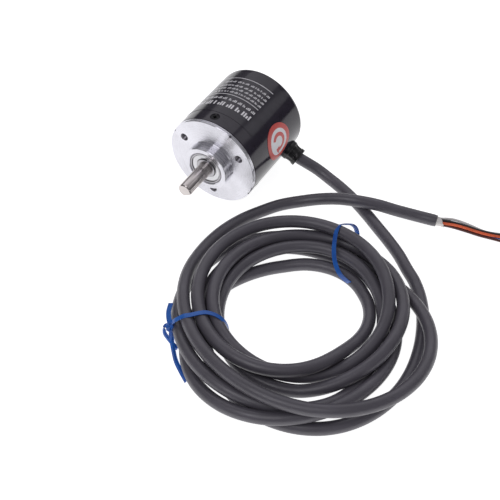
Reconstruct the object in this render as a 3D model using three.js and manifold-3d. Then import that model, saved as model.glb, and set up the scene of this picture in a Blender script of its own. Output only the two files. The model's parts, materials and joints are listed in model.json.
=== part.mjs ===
// Incremental rotary encoder with a coiled lead, in millimetres, +Z up.
// The encoder lies on its side: its shaft axis runs along Y at the height of the body's radius,
// the shaft tip points towards -Y, and angles about the axis start at +X and turn towards +Z.
import * as THREE from "three";
import { mergeVertices } from "three/addons/utils/BufferGeometryUtils.js";
import Module from "manifold-3d";

const wasm = await Module();
wasm.setup();

// Driving dimensions of the encoder
const BODY_R = 20;
const BODY_LENGTH = 39;
const BOSS_R = 10;
const BOSS_LENGTH = 5;
const SHAFT_R = 3;
const SHAFT_OUT = 15;
const FLAT_LENGTH = 12;
const FLAT_TO_AXIS = 2;
const FLAT_ANGLE = -60;
const RIM_THICK = 1.5;
const WALL = 1.4;
const MOUNT_PCD = 30;
const MOUNT_HOLE_R = 1.25;
const MOUNT_HOLE_DEPTH = 6;
const MOUNT_ANGLE = 31.5;
const COVER_SCREW_ANGLE = 94;
const COVER_SCREW_INSET = 5;
const GLAND_ANGLE = -25.8;
const GLAND_INSET = 31.6;
const CABLE_R = 2.5;
const WIRE_R = 0.5;
const LABEL = { from: 45, to: 216, start: 8, end: 36 };
const STICKER = { radius: 7.9, angle: 13.6, inset: 20.5 };

// Places along the axis, from the shaft tip to the rear face
const TIP_Y = -(SHAFT_OUT + BOSS_LENGTH + BODY_LENGTH) / 2;
const BOSS_Y = TIP_Y + SHAFT_OUT;
const FACE_Y = BOSS_Y + BOSS_LENGTH;
const COVER_Y = FACE_Y + RIM_THICK;
const REAR_Y = FACE_Y + BODY_LENGTH;
const SPIGOT_END_Y = -1;
const HUB_TUBE_END_Y = 2.2;
const DISC_Y = 7.6;
const BOARD_Y = 12;

// Radii inside the body, and the number of sides on its round shells
const ROUND_SIDES = 40;
const INNER_R = BODY_R - WALL;
const SPIGOT_R = INNER_R - 0.3;
const DISC_R = 13.8;
const SENSOR_R = 11.6;
const POST_R = 16.2;
const BOARD_R = 17.8;
const POST_ANGLES = [30, 150, 270];

// A miniature deep-groove ball bearing, 6 x 15 x 5
const BEARING = { bore: 3, outer: 7.5, width: 5, pitch: 5.25, ball: 1.19, balls: 7 };
const FRONT_BEARING_Y = BOSS_Y + 0.3;
const REAR_BEARING_Y = -3.4;
const PLAY = 0.05;

// The cable: hand-laid stretches before and after the coil, and the coil's own outline
const LEAD_ROUTE = [
  [23.6, 22.1, 8.55],
  [26.8, 22.7, 7.2],
  [31.5, 23.6, 5.1],
  [37.5, 23.2, 3.3],
  [44.5, 21.4, 2.6],
  [52, 18.2, 2.6],
  [60, 14, 2.6],
  [68, 9.3, 2.6],
  [76.5, 4.2, 2.6],
  [82.5, 0.1, 2.6],
  [88, -4.5, 2.6],
];
const TAIL_ROUTE = [
  [16.8, -36, 6.1],
  [17.4, -26, 5],
  [19.7, -17, 3.9],
  [23.3, -8.7, 3],
  [28, -1, 2.7],
  [34, 4.6, 3.2],
  [42, 8.8, 5.4],
  [49, 11, 7.4],
  [56, 13.2, 8.1],
  [63.5, 16.6, 7],
  [71, 20.3, 4.5],
  [78.5, 23.4, 2.9],
  [86.9, 25.5, 2.6],
];
const COIL = {
  outer: { x: 67.5, y: -51, rx: 50.5, ry: 46.5 },
  inner: { x: 61, y: -48, rx: 24.5, ry: 25 },
  bottom: 1,
  top: 14.5,
  round: 2.5,
};
const WIRE_ROUTE = [
  [87.4, 25.6, 2.6],
  [92.2, 27.1, 2.2],
  [99, 28.7, 1.6],
  [106, 30.2, 1.1],
  [113, 32.9, 0.6],
  [120.5, 36.4, 0.6],
  [128.5, 39.6, 0.6],
  [137, 42, 0.6],
];
// Each conductor's place in the ring of five at the jacket's end, in degrees, and the lane it settles in
const WIRES = [
  { name: "conductor_white", start: 18, lane: 2 },
  { name: "conductor_black", start: 306, lane: 1 },
  { name: "conductor_orange", start: 90, lane: 0 },
  { name: "conductor_blue", start: 234, lane: -1 },
  { name: "conductor_brown", start: 162, lane: -2 },
];
const WIRE_RING_R = 1.25;
const WIRE_LANE = 1.4;
const WIRE_SETTLE = 0.45;
const TIES = [
  { name: "twist_tie_1", angle: -145.5, inner: 27.6, outer: 50.6 },
  { name: "twist_tie_2", angle: 97, inner: 26.4, outer: 47.9 },
];
const TIE_CENTRE = [69.3, -51.5];
const TIE = { width: 2.4, thick: 0.6, bottom: 0.05, top: 15.7, round: 3 };

const MATERIALS = {
  aluminium: { color: 0xd4d6dc, metalness: 1, roughness: 0.3 },
  steel: { color: 0xb0aca6, metalness: 1, roughness: 0.25 },
  bearing: { color: 0xa4a6aa, metalness: 1, roughness: 0.2 },
  black_metal: { color: 0x1b1b1f, metalness: 0.2, roughness: 0.35 },
  screw: { color: 0x17171a, metalness: 0.8, roughness: 0.4 },
  rubber: { color: 0x121214, metalness: 0, roughness: 0.6 },
  gland: { color: 0x0f0f11, metalness: 0, roughness: 0.4 },
  label: { color: 0x202024, metalness: 0, roughness: 0.35 },
  sticker: { color: 0xd04a38, metalness: 0, roughness: 0.4 },
  brass: { color: 0xb58a45, metalness: 1, roughness: 0.35 },
  glass: { color: 0xcfdde0, metalness: 0, roughness: 0.05 },
  moulding: { color: 0x1c1c1e, metalness: 0, roughness: 0.55 },
  board: { color: 0x1e5a34, metalness: 0, roughness: 0.5 },
  chip: { color: 0x141416, metalness: 0, roughness: 0.5 },
  connector: { color: 0xe6e2d6, metalness: 0, roughness: 0.5 },
  cable: { color: 0x4b4a50, metalness: 0, roughness: 0.5 },
  tie: { color: 0x24529c, metalness: 0, roughness: 0.4 },
  conductor_white: { color: 0xd8d8d4, metalness: 0, roughness: 0.5 },
  conductor_black: { color: 0x18181a, metalness: 0, roughness: 0.5 },
  conductor_orange: { color: 0xc8501e, metalness: 0, roughness: 0.5 },
  conductor_blue: { color: 0x24408c, metalness: 0, roughness: 0.5 },
  conductor_brown: { color: 0x43201c, metalness: 0, roughness: 0.5 },
};
const made = new Map();

const encoder = new THREE.Group();
encoder.position.z = BODY_R;
const cord = new THREE.Group();
const model = new THREE.Group();
model.add(encoder, cord);

// Helpers

function material(name) {
  if (!made.has(name)) made.set(name, new THREE.MeshStandardMaterial(MATERIALS[name]));
  return made.get(name);
}

function add(group, name, geometry, look) {
  const mesh = new THREE.Mesh(geometry, material(look));
  mesh.name = name;
  group.add(mesh);
}

// A closed profile of [radius, y] corners, turned about the Y axis.
function turned(profile, segments = 20) {
  const corners = profile.map(([r, y]) => new THREE.Vector2(r, y));
  if (THREE.ShapeUtils.area(corners) < 0) corners.reverse();
  return new THREE.LatheGeometry([...corners, corners[0]], segments);
}

function toSolid(geometry) {
  const bare = new THREE.BufferGeometry();
  bare.setAttribute("position", geometry.getAttribute("position"));
  bare.setIndex(geometry.index);
  const merged = mergeVertices(bare, 1e-4);
  const vertProperties = merged.attributes.position.array;
  const triVerts = new Uint32Array(merged.index.array);
  return new wasm.Manifold(new wasm.Mesh({ numProp: 3, vertProperties, triVerts }));
}

function toGeometry(solid) {
  const mesh = solid.getMesh();
  const geometry = new THREE.BufferGeometry();
  geometry.setAttribute("position", new THREE.BufferAttribute(mesh.vertProperties, 3));
  geometry.setIndex(new THREE.BufferAttribute(mesh.triVerts, 1));
  return geometry;
}

function cut(geometry, tools) {
  const rest = tools.reduce((solid, tool) => solid.subtract(toSolid(tool)), toSolid(geometry));
  return toGeometry(rest);
}

function join(geometries) {
  return toGeometry(geometries.map(toSolid).reduce((whole, next) => whole.add(next)));
}

function common(a, b) {
  return toGeometry(toSolid(a).intersect(toSolid(b)));
}

// Unit direction away from the axis at an angle in degrees, in the plane across the axis.
function outward(angle) {
  const turn = THREE.MathUtils.degToRad(angle);
  return new THREE.Vector3(Math.cos(turn), 0, Math.sin(turn));
}

// Stands a shape made about its own Y axis on the encoder's axis, pointing outwards.
function radial(geometry, angle, y) {
  const lift = new THREE.Quaternion().setFromUnitVectors(new THREE.Vector3(0, 1, 0), outward(angle));
  return geometry.applyQuaternion(lift).translate(0, y, 0);
}

// Moves a shape made about the Y axis sideways to a radius and angle.
function beside(geometry, radius, angle) {
  const place = outward(angle).multiplyScalar(radius);
  return geometry.translate(place.x, 0, place.z);
}

function rod(radius, from, to, segments = 12) {
  return turned([[0, from], [radius, from], [radius, to], [0, to]], segments);
}

function block(size, centre) {
  return new THREE.BoxGeometry(...size).toNonIndexed().translate(...centre);
}

function around(count, first) {
  return Array.from({ length: count }, (_, i) => first + (360 / count) * i);
}

// A round tube along a smooth curve through hand-laid points.
function tube(points, radius, sides, steps) {
  const curve = new THREE.CatmullRomCurve3(points.map((p) => new THREE.Vector3(...p)));
  const section = new THREE.Shape().absarc(0, 0, radius, 0, 2 * Math.PI);
  const outline = new THREE.Shape(section.getPoints(sides).slice(0, sides));
  return new THREE.ExtrudeGeometry(outline, { steps, extrudePath: curve, bevelEnabled: false });
}

// Housing

function flangeBase() {
  const seat = BEARING.outer + PLAY;
  const body = turned([
    [seat + 0.4, BOSS_Y],
    [BOSS_R - 0.3, BOSS_Y],
    [BOSS_R, BOSS_Y + 0.3],
    [BOSS_R, FACE_Y],
    [BODY_R - 0.3, FACE_Y],
    [BODY_R, FACE_Y + 0.3],
    [BODY_R, COVER_Y - 0.1],
    [SPIGOT_R - 1, COVER_Y - 0.1],
    [SPIGOT_R - 1, COVER_Y + 1.1],
    [SPIGOT_R, COVER_Y + 1.1],
    [SPIGOT_R, SPIGOT_END_Y],
    [9.5, SPIGOT_END_Y],
    [9.5, HUB_TUBE_END_Y],
    [seat, HUB_TUBE_END_Y],
    [seat, REAR_BEARING_Y - 0.1],
    [6, REAR_BEARING_Y - 0.1],
    [6, FRONT_BEARING_Y + BEARING.width + 0.5],
    [seat, FRONT_BEARING_Y + BEARING.width + 0.5],
    [seat, BOSS_Y + 0.4],
  ], ROUND_SIDES);
  const mountHoles = around(3, MOUNT_ANGLE).map((angle) =>
    beside(rod(MOUNT_HOLE_R, FACE_Y - 1, FACE_Y + MOUNT_HOLE_DEPTH, 10), MOUNT_PCD / 2, angle));
  const screwHoles = around(3, COVER_SCREW_ANGLE).map((angle) =>
    radial(rod(1.1, INNER_R - 4, INNER_R + 1, 10), angle, FACE_Y + COVER_SCREW_INSET));
  return cut(body, [...mountHoles, ...screwHoles]);
}

function cover() {
  const cup = turned([
    [BODY_R, COVER_Y + 0.1],
    [BODY_R, REAR_Y - 1.2],
    [BODY_R - 0.4, REAR_Y - 0.35],
    [BODY_R - 1.2, REAR_Y],
    [0, REAR_Y],
    [0, REAR_Y - 1.6],
    [INNER_R - 0.5, REAR_Y - 1.6],
    [INNER_R, REAR_Y - 2.1],
    [INNER_R, COVER_Y + 0.1],
  ], ROUND_SIDES);
  const sink = [[0, 15], [1.15, 15], [1.15, 18.9], [2, 19.75], [2, 21], [0, 21]];
  const screwSinks = around(3, COVER_SCREW_ANGLE).map((angle) =>
    radial(turned(sink, 16), angle, FACE_Y + COVER_SCREW_INSET));
  const glandHole = radial(rod(3.55, 15, 22, 16), GLAND_ANGLE, FACE_Y + GLAND_INSET);
  return cut(cup, [...screwSinks, glandHole]);
}

function sealRing() {
  const start = COVER_Y + 0.1;
  const end = start + 0.85;
  const inside = SPIGOT_R - 0.9;
  const outside = SPIGOT_R + 0.15;
  return turned([[inside, start], [outside, start], [outside, end], [inside, end]], ROUND_SIDES);
}

// A small countersunk screw about its own Y axis, with a cross recess.
function coverScrew(angle) {
  const screw = turned([[0, 15.6], [0.7, 15.6], [0.95, 15.9], [0.95, 18.9], [1.8, 19.72], [0, 19.72]], 14);
  const slots = [[1.9, 1, 0.4], [0.4, 1, 1.9]].map((size) => block(size, [0, 19.6, 0]));
  return radial(cut(screw, [join(slots)]), angle, FACE_Y + COVER_SCREW_INSET);
}

// A thin shell on the body's outside, between two angles and two places along the axis.
function skin(from, to, startY, endY, segments) {
  const outer = BODY_R + 0.2;
  const inner = BODY_R + 0.06;
  const start = THREE.MathUtils.degToRad(from);
  const end = THREE.MathUtils.degToRad(to);
  const sheet = new THREE.Shape();
  sheet.absarc(0, 0, outer, start, end, false);
  sheet.absarc(0, 0, inner, end, start, true);
  const options = { depth: endY - startY, bevelEnabled: false, curveSegments: segments };
  return new THREE.ExtrudeGeometry(sheet, options).rotateX(Math.PI / 2).translate(0, endY, 0);
}

function roundSticker() {
  const patch = skin(-20, 48, FACE_Y + 10, FACE_Y + 31, 14);
  const disc = rod(STICKER.radius, BODY_R - 8, BODY_R + 4, 28);
  return common(patch, radial(disc, STICKER.angle, FACE_Y + STICKER.inset));
}

// Bearings

// Radius of a groove wall that follows the balls, at a distance from the groove's middle.
function groove(side, offset) {
  return BEARING.pitch + side * Math.sqrt((BEARING.ball + 0.12) ** 2 - offset ** 2);
}

function outerRace(start) {
  const { outer, width } = BEARING;
  const end = start + width;
  const mid = start + width / 2;
  const groovePoints = [0.86, 0.6, 0, -0.6, -0.86].map((dy) => [groove(1, dy), mid + dy]);
  return turned([
    [outer - 0.8, start],
    [outer - 0.2, start],
    [outer, start + 0.2],
    [outer, end - 0.2],
    [outer - 0.2, end],
    [outer - 0.8, end],
    [outer - 0.8, end - 0.75],
    [outer - 1.3, end - 0.75],
    ...groovePoints,
    [outer - 1.3, start + 0.75],
    [outer - 0.8, start + 0.75],
  ]);
}

function innerRace(start) {
  const end = start + BEARING.width;
  const mid = start + BEARING.width / 2;
  const land = BEARING.bore + 1.3;
  const groovePoints = [-0.86, -0.6, 0, 0.6, 0.86].map((dy) => [groove(-1, dy), mid + dy]);
  return turned([
    [BEARING.bore + PLAY, end],
    [BEARING.bore + PLAY, start],
    [land, start],
    ...groovePoints,
    [land, end],
  ]);
}

function ballCage(start, angles) {
  const mid = start + BEARING.width / 2;
  const ring = turned([
    [BEARING.pitch - 0.2, mid - 1.7],
    [BEARING.pitch + 0.2, mid - 1.7],
    [BEARING.pitch + 0.2, mid + 1.7],
    [BEARING.pitch - 0.2, mid + 1.7],
  ], 21);
  return cut(ring, angles.map((angle) => radial(rod(BEARING.ball + 0.16, 3.5, 7, 8), angle, mid)));
}

function shield(start) {
  return turned([[4.5, start], [6.6, start], [6.6, start + 0.25], [4.5, start + 0.25]]);
}

function ball(start, angle) {
  const sphere = new THREE.IcosahedronGeometry(BEARING.ball, 1);
  return beside(sphere.translate(0, start + BEARING.width / 2, 0), BEARING.pitch, angle);
}

function addBearing(prefix, start, shieldPlaces) {
  const angles = around(BEARING.balls, 90);
  add(encoder, prefix + "_bearing_outer_race", outerRace(start), "bearing");
  add(encoder, prefix + "_bearing_inner_race", innerRace(start), "bearing");
  add(encoder, prefix + "_bearing_cage", ballCage(start, angles), "brass");
  for (const [side, inset] of shieldPlaces)
    add(encoder, prefix + "_bearing_" + side + "_shield", shield(start + inset), "steel");
  angles.forEach((angle, i) =>
    add(encoder, prefix + "_bearing_ball_" + (i + 1), ball(start, angle), "bearing"));
}

// A spring washer: a flat ring pressed into three shallow waves.
function waveWasher() {
  const start = FRONT_BEARING_Y + BEARING.width + 0.15;
  const ring = turned([[5.7, start], [7.3, start], [7.3, start + 0.2], [5.7, start + 0.2]]);
  const place = ring.attributes.position;
  for (let i = 0; i < place.count; i++) {
    const turn = Math.atan2(place.getZ(i), place.getX(i));
    place.setY(i, place.getY(i) + 0.08 * Math.cos(3 * turn));
  }
  return ring;
}

// Rotor

function shaft() {
  const neck = SHAFT_R - 0.5;
  const clip = REAR_BEARING_Y + BEARING.width + 0.1;
  const bar = turned([
    [0, TIP_Y],
    [SHAFT_R - 0.4, TIP_Y],
    [SHAFT_R, TIP_Y + 0.4],
    [SHAFT_R, clip],
    [neck, clip],
    [neck, clip + 0.6],
    [SHAFT_R, clip + 0.6],
    [SHAFT_R, clip + 1],
    [neck, clip + 1.1],
    [neck, DISC_Y + 1.6],
    [neck - 0.3, DISC_Y + 1.9],
    [0, DISC_Y + 1.9],
  ], 24);
  const waste = block([4, FLAT_LENGTH + 1, 8], [FLAT_TO_AXIS + 2, TIP_Y + (FLAT_LENGTH - 1) / 2, 0]);
  waste.rotateY(-THREE.MathUtils.degToRad(FLAT_ANGLE));
  return cut(bar, [waste]);
}

function bearingSpacer() {
  const start = FRONT_BEARING_Y + BEARING.width + PLAY;
  const end = REAR_BEARING_Y - PLAY;
  return turned([[3.1, start], [4, start], [4, end], [3.1, end]]);
}

function retainingRing() {
  const start = REAR_BEARING_Y + BEARING.width + 0.2;
  const ring = turned([[2.6, start], [4.4, start], [4.4, start + 0.4], [2.6, start + 0.4]]);
  return cut(ring, [block([3, 2, 3.2], [-3.4, start, 0])]);
}

function discHub() {
  const body = turned([
    [2.56, 3],
    [5, 3],
    [5.2, 3.2],
    [5.2, DISC_Y - 1.2],
    [8, DISC_Y - 1.2],
    [8, DISC_Y - 0.1],
    [5, DISC_Y - 0.1],
    [5, DISC_Y + 1.2],
    [2.56, DISC_Y + 1.2],
  ]);
  return cut(body, [radial(rod(1.1, 1, 7, 10), 0, 4.7)]);
}

function hubSetScrew() {
  const socket = rod(0.45, 4, 5.5, 6);
  return radial(cut(rod(0.9, 2.75, 4.9, 10), [socket]), 0, 4.7);
}

function codeDisc() {
  return turned([[5.15, DISC_Y], [DISC_R, DISC_Y], [DISC_R, DISC_Y + 0.8], [5.15, DISC_Y + 0.8]], 36);
}

// Reading head and electronics

function sensorHolder() {
  const ring = turned([[12.6, -0.9], [18.2, -0.9], [18.2, 0.9], [12.6, 0.9]], 36);
  const posts = POST_ANGLES.map((angle) => beside(rod(1.5, 0.4, BOARD_Y - 0.1, 10), POST_R, angle));
  const bridge = block([7, 3, 6.4], [0, 2.1, SENSOR_R + 1.5]);
  const bores = POST_ANGLES.slice(0, 2).map((angle) =>
    beside(rod(1.05, BOARD_Y - 4.4, BOARD_Y + 1, 8), POST_R, angle));
  return cut(join([ring, ...posts, bridge]), bores);
}

function lightEmitter() {
  return beside(turned([[0, 3.7], [1.5, 3.7], [1.5, 5.2], [1, 5.9], [0, 6.1]], 12), SENSOR_R, 90);
}

function collimatingLens() {
  return beside(turned([[0, 6.3], [1.1, 6.45], [1.7, 6.8], [1.7, 7.3], [0, 7.3]], 12), SENSOR_R, 90);
}

function mainBoard() {
  const board = rod(BOARD_R, BOARD_Y, BOARD_Y + 1.2, 40);
  const holes = POST_ANGLES.slice(0, 2).map((angle) =>
    beside(rod(1.15, BOARD_Y - 1, BOARD_Y + 2, 10), POST_R, angle));
  return cut(board, holes);
}

function boardScrew(angle) {
  const top = BOARD_Y + 1.3;
  const screw = turned([[0, 8.3], [0.9, 8.3], [0.9, top], [1.5, top], [1.5, top + 0.7], [0.9, top + 1.1],
    [0, top + 1.1]], 12);
  return beside(screw, POST_R, angle);
}

// Cable entry

function cableGland() {
  const boot = turned([
    [0, 17],
    [4.1, 17],
    [4.1, 17.9],
    [3.3, 17.9],
    [3.3, 20.1],
    [4.35, 20.1],
    [4.3, 20.9],
    [3.6, 22.6],
    [3.4, 24],
    [3.5, 25.8],
    [0, 25.8],
  ], 16);
  return radial(boot, GLAND_ANGLE, FACE_Y + GLAND_INSET);
}

function innerCable() {
  const entry = outward(GLAND_ANGLE).multiplyScalar(16.7);
  const y = FACE_Y + GLAND_INSET;
  const route = [[entry.x, y, entry.z], [11, y + 0.4, -4.6], [6.5, y - 0.6, -3.4], [3.4, y - 2.2, -3]];
  return tube(route, 1.5, 8, 6);
}

// Cord

function cableCoil() {
  const { outer, inner, bottom, top, round } = COIL;
  const rim = new THREE.Shape();
  rim.absellipse(outer.x, outer.y, outer.rx - round, outer.ry - round, 0, 2 * Math.PI);
  const hole = new THREE.Path();
  hole.absellipse(inner.x, inner.y, inner.rx + round, inner.ry + round, 0, 2 * Math.PI);
  rim.holes.push(hole);
  const bevel = { bevelThickness: round, bevelSize: round, bevelSegments: 2 };
  const options = { depth: top - bottom - 2 * round, curveSegments: 15, ...bevel };
  return new THREE.ExtrudeGeometry(rim, options).translate(0, 0, bottom + round);
}

// Each conductor leaves a ring of five at the jacket's end and settles into its own lane.
function conductor({ start, lane }) {
  const middle = new THREE.CatmullRomCurve3(WIRE_ROUTE.map((p) => new THREE.Vector3(...p)));
  const count = 2 * WIRE_ROUTE.length;
  const turn = THREE.MathUtils.degToRad(start);
  const route = Array.from({ length: count }, (_, i) => {
    const along = i / (count - 1);
    const settled = THREE.MathUtils.smoothstep(along, 0, WIRE_SETTLE);
    const ahead = middle.getTangent(along);
    const side = new THREE.Vector3(-ahead.y, ahead.x, 0).normalize();
    const sideways = THREE.MathUtils.lerp(WIRE_RING_R * Math.cos(turn), WIRE_LANE * lane, settled);
    const point = middle.getPoint(along).addScaledVector(side, sideways);
    point.z += THREE.MathUtils.lerp(WIRE_RING_R * Math.sin(turn), 0, settled);
    return point.toArray();
  });
  return tube(route, WIRE_R, 8, 12);
}

// A rounded rectangle's outline, from a low corner to a high corner.
function rounded(kind, x0, y0, x1, y1, r) {
  const quarter = Math.PI / 2;
  kind.absarc(x1 - r, y1 - r, r, 0, quarter);
  kind.absarc(x0 + r, y1 - r, r, quarter, 2 * quarter);
  kind.absarc(x0 + r, y0 + r, r, 2 * quarter, 3 * quarter);
  kind.absarc(x1 - r, y0 + r, r, 3 * quarter, 4 * quarter);
  return kind;
}

// A flat strip closed round the coil's bundle, standing across it.
function twistTie({ angle, inner, outer }) {
  const { width, thick, bottom, top, round } = TIE;
  const band = rounded(new THREE.Shape(), inner - thick, bottom, outer + thick, top, round);
  band.holes.push(rounded(new THREE.Path(), inner, bottom + thick, outer, top - thick, round - thick));
  const strip = new THREE.ExtrudeGeometry(band, { depth: width, curveSegments: 4, bevelEnabled: false });
  strip.translate(0, 0, -width / 2).rotateX(Math.PI / 2).rotateZ(THREE.MathUtils.degToRad(angle));
  return strip.translate(...TIE_CENTRE, 0);
}

// Assembly

add(encoder, "flange_base", flangeBase(), "aluminium");
add(encoder, "cover", cover(), "black_metal");
add(encoder, "seal_ring", sealRing(), "rubber");
around(3, COVER_SCREW_ANGLE).forEach((angle, i) =>
  add(encoder, "cover_screw_" + (i + 1), coverScrew(angle), "screw"));
add(encoder, "label", skin(LABEL.from, LABEL.to, FACE_Y + LABEL.start, FACE_Y + LABEL.end, 24), "label");
add(encoder, "round_sticker", roundSticker(), "sticker");

addBearing("front", FRONT_BEARING_Y, [["front", 0.35], ["rear", BEARING.width - 0.6]]);
addBearing("rear", REAR_BEARING_Y, [["rear", BEARING.width - 0.6]]);
add(encoder, "wave_washer", waveWasher(), "steel");

add(encoder, "shaft", shaft(), "steel");
add(encoder, "bearing_spacer", bearingSpacer(), "brass");
add(encoder, "retaining_ring", retainingRing(), "steel");
add(encoder, "disc_hub", discHub(), "brass");
add(encoder, "hub_set_screw", hubSetScrew(), "screw");
add(encoder, "code_disc", codeDisc(), "glass");

add(encoder, "sensor_holder", sensorHolder(), "moulding");
add(encoder, "light_emitter", lightEmitter(), "glass");
add(encoder, "collimating_lens", collimatingLens(), "glass");
add(encoder, "reticle_mask", block([5, 0.3, 4], [0, 8.95, SENSOR_R]), "glass");
add(encoder, "photodetector", block([6, 2.4, 5], [0, 10.6, SENSOR_R]), "chip");
add(encoder, "main_board", mainBoard(), "board");
add(encoder, "signal_chip", block([6, 1.5, 4.4], [-5, BOARD_Y + 2.05, 3.5]), "chip");
add(encoder, "wire_connector", block([5, 4.4, 9], [0, BOARD_Y + 3.5, -4]), "connector");
POST_ANGLES.slice(0, 2).forEach((angle, i) =>
  add(encoder, "board_screw_" + (i + 1), boardScrew(angle), "screw"));

add(encoder, "cable_gland", cableGland(), "gland");
add(encoder, "inner_cable", innerCable(), "cable");

add(cord, "cable_lead", tube(LEAD_ROUTE, CABLE_R, 10, 10), "cable");
add(cord, "cable_coil", cableCoil(), "cable");
add(cord, "cable_tail", tube(TAIL_ROUTE, CABLE_R, 10, 12), "cable");
for (const wire of WIRES) add(cord, wire.name, conductor(wire), wire.name);
for (const tie of TIES) add(cord, tie.name, twistTie(tie), "tie");

export default model;
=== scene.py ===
"""An incremental rotary encoder with a coiled lead, in Blender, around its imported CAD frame.

Sizes are in millimetres and become metres where a mesh is made; cord routes are in metres. The encoder
lies on its side: its shaft axis runs along Y, the shaft tip points towards -Y, and angles about the axis
start at +X and turn towards +Z.
"""

import json
import math

import bmesh
import bpy
import numpy as np
from mathutils import Matrix, Vector


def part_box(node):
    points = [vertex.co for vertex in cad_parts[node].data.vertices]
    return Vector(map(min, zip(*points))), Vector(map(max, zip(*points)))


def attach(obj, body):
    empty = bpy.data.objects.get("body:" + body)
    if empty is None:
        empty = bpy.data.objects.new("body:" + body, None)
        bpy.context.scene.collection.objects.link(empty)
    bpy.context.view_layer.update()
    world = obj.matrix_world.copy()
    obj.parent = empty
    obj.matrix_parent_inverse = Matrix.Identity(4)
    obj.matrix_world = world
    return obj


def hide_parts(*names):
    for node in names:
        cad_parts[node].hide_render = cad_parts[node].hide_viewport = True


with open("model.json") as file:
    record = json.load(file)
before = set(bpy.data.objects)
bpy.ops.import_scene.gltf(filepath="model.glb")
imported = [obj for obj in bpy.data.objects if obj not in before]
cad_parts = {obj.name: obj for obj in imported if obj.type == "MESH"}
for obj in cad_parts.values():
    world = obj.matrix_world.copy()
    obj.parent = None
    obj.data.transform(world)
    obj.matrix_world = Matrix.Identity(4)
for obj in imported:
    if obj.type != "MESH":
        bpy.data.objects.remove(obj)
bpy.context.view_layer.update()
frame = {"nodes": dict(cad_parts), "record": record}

MM = 0.001
UP = np.array([0, 0, 1])
RECORD = frame["record"]
BODY_OF = {node: body for body, nodes in RECORD["behaviour"]["bodies"].items() for node in nodes}
SLOT_OF = {part["node"]: part["material_slot"] for part in RECORD["subparts"]}


def reach_of(node, axis):
    """Where a node starts and ends along an axis."""
    low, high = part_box(node)
    return low[axis] / MM, high[axis] / MM


# Places that the frame gives
BOTTOM_Z, TOP_Z = reach_of("cover", 2)
AXIS_Z = (BOTTOM_Z + TOP_Z) / 2
BODY_R = TOP_Z - AXIS_Z
TIP_Y = reach_of("shaft", 1)[0]
BOSS_Y = reach_of("flange_base", 1)[0]
COVER_Y, REAR_Y = reach_of("cover", 1)
LABEL_Y = reach_of("label", 1)
FRONT_BEARING_Y = reach_of("front_bearing_outer_race", 1)[0]
REAR_BEARING_Y = reach_of("rear_bearing_outer_race", 1)[0]
DISC_Y = reach_of("code_disc", 1)[0]

# Driving dimensions of the encoder
BOSS_R = 10
BOSS_LENGTH = 5
FACE_Y = BOSS_Y + BOSS_LENGTH
SHAFT_R = 3
FLAT_LENGTH = 12
FLAT_TO_AXIS = 2
FLAT_ANGLE = -60
WALL = 1.4
INNER_R = BODY_R - WALL
SPIGOT_R = INNER_R - 0.3
SPIGOT_END_Y = -1
HUB_TUBE_END_Y = 2.2
MOUNT_ANGLES = [31.5, 151.5, 271.5]
MOUNT_R = 15
COVER_SCREW_ANGLES = [94, 214, 334]
COVER_SCREW_Y = FACE_Y + 5
STAKE_ANGLES = [63.5, 153.5, 243.5, 333.5]
GLAND_ANGLE = -25.8
GLAND_Y = FACE_Y + 31.6
# A bearing's radii at its bore, outside, ball circle and balls, its width and how many balls it has
BEARING_BORE_R = 3
BEARING_R = 7.5
PITCH_R = 5.25
BALL_R = 1.19
BEARING_WIDTH = 5
BALLS = 7
# The gap between a bearing's races and what they fit
PLAY = 0.05

# The cable's radius, and its routes in metres: before the coil, after it, and the bare wires'
CABLE_R = 2.5
LEAD_ROUTE = [
    (0.0236, 0.0221, 0.00855), (0.0268, 0.0227, 0.0072), (0.0315, 0.0236, 0.0051),
    (0.0375, 0.0232, 0.0033), (0.0445, 0.0214, 0.0026), (0.052, 0.0182, 0.0026),
    (0.06, 0.014, 0.0026), (0.068, 0.0093, 0.0026), (0.0765, 0.0042, 0.0026),
    (0.0825, 0.0001, 0.0026), (0.088, -0.0045, 0.0026),
]
TAIL_ROUTE = [
    (0.0168, -0.036, 0.0061), (0.0174, -0.026, 0.005), (0.0197, -0.017, 0.0039),
    (0.0233, -0.0087, 0.003), (0.028, -0.001, 0.0027), (0.034, 0.0046, 0.0032),
    (0.042, 0.0088, 0.0054), (0.049, 0.011, 0.0074), (0.056, 0.0132, 0.0081),
    (0.0635, 0.0166, 0.007), (0.071, 0.0203, 0.0045), (0.0785, 0.0234, 0.0029),
    (0.0869, 0.0255, 0.0026),
]
WIRE_ROUTE = [
    (0.0874, 0.0256, 0.0026), (0.0922, 0.0271, 0.0022), (0.099, 0.0287, 0.0016),
    (0.106, 0.0302, 0.0011), (0.113, 0.0329, 0.0006), (0.1205, 0.0364, 0.0006),
    (0.1285, 0.0396, 0.0006), (0.137, 0.042, 0.0006),
]

# The coil's laps, wound clockwise from above. Each lap starts as one row and turns into the next.
# Its centre in plan, the angle where it starts, how far it winds, and how many points a lap has
COIL_CENTRE = (69.3, -51.5)
COIL_START = 68.3
COIL_DEGREES = 2424.7
LAP_STATIONS = 48
# In plan: the lap's radius, its shift along x and y, and how oval it is along x and along the diagonal
LAP_PLANS = [
    (35, 13, 11, -5, -6),
    (45, -7, -11, -1, 2),
    (28, -7, -1, -3, 2),
    (34.5, -13.5, 8.4, 2.2, 0),
    (34, 0, 7, -1, -1),
    (31, -7, 3, -1, 1),
    (52, -2, -8, 2, -3),
    (41, -11, 27, -3, 3),
]
# In height: the lap's middle height, its tilt along x and y, and its warp along x and along the diagonal
LAP_HEIGHTS = [
    (14, -17, 2, 6, -2),
    (0, 5, 1, -1, -2),
    (8, 0, -6, -2, -1),
    (9, -4, 4, 1, 2),
    (9, 1, 0, 2, 0),
    (2, -3, 6, 0, 1),
    (10, 5, -9, -2, -1),
    (7, -4, 6, 0, 5),
]
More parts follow.
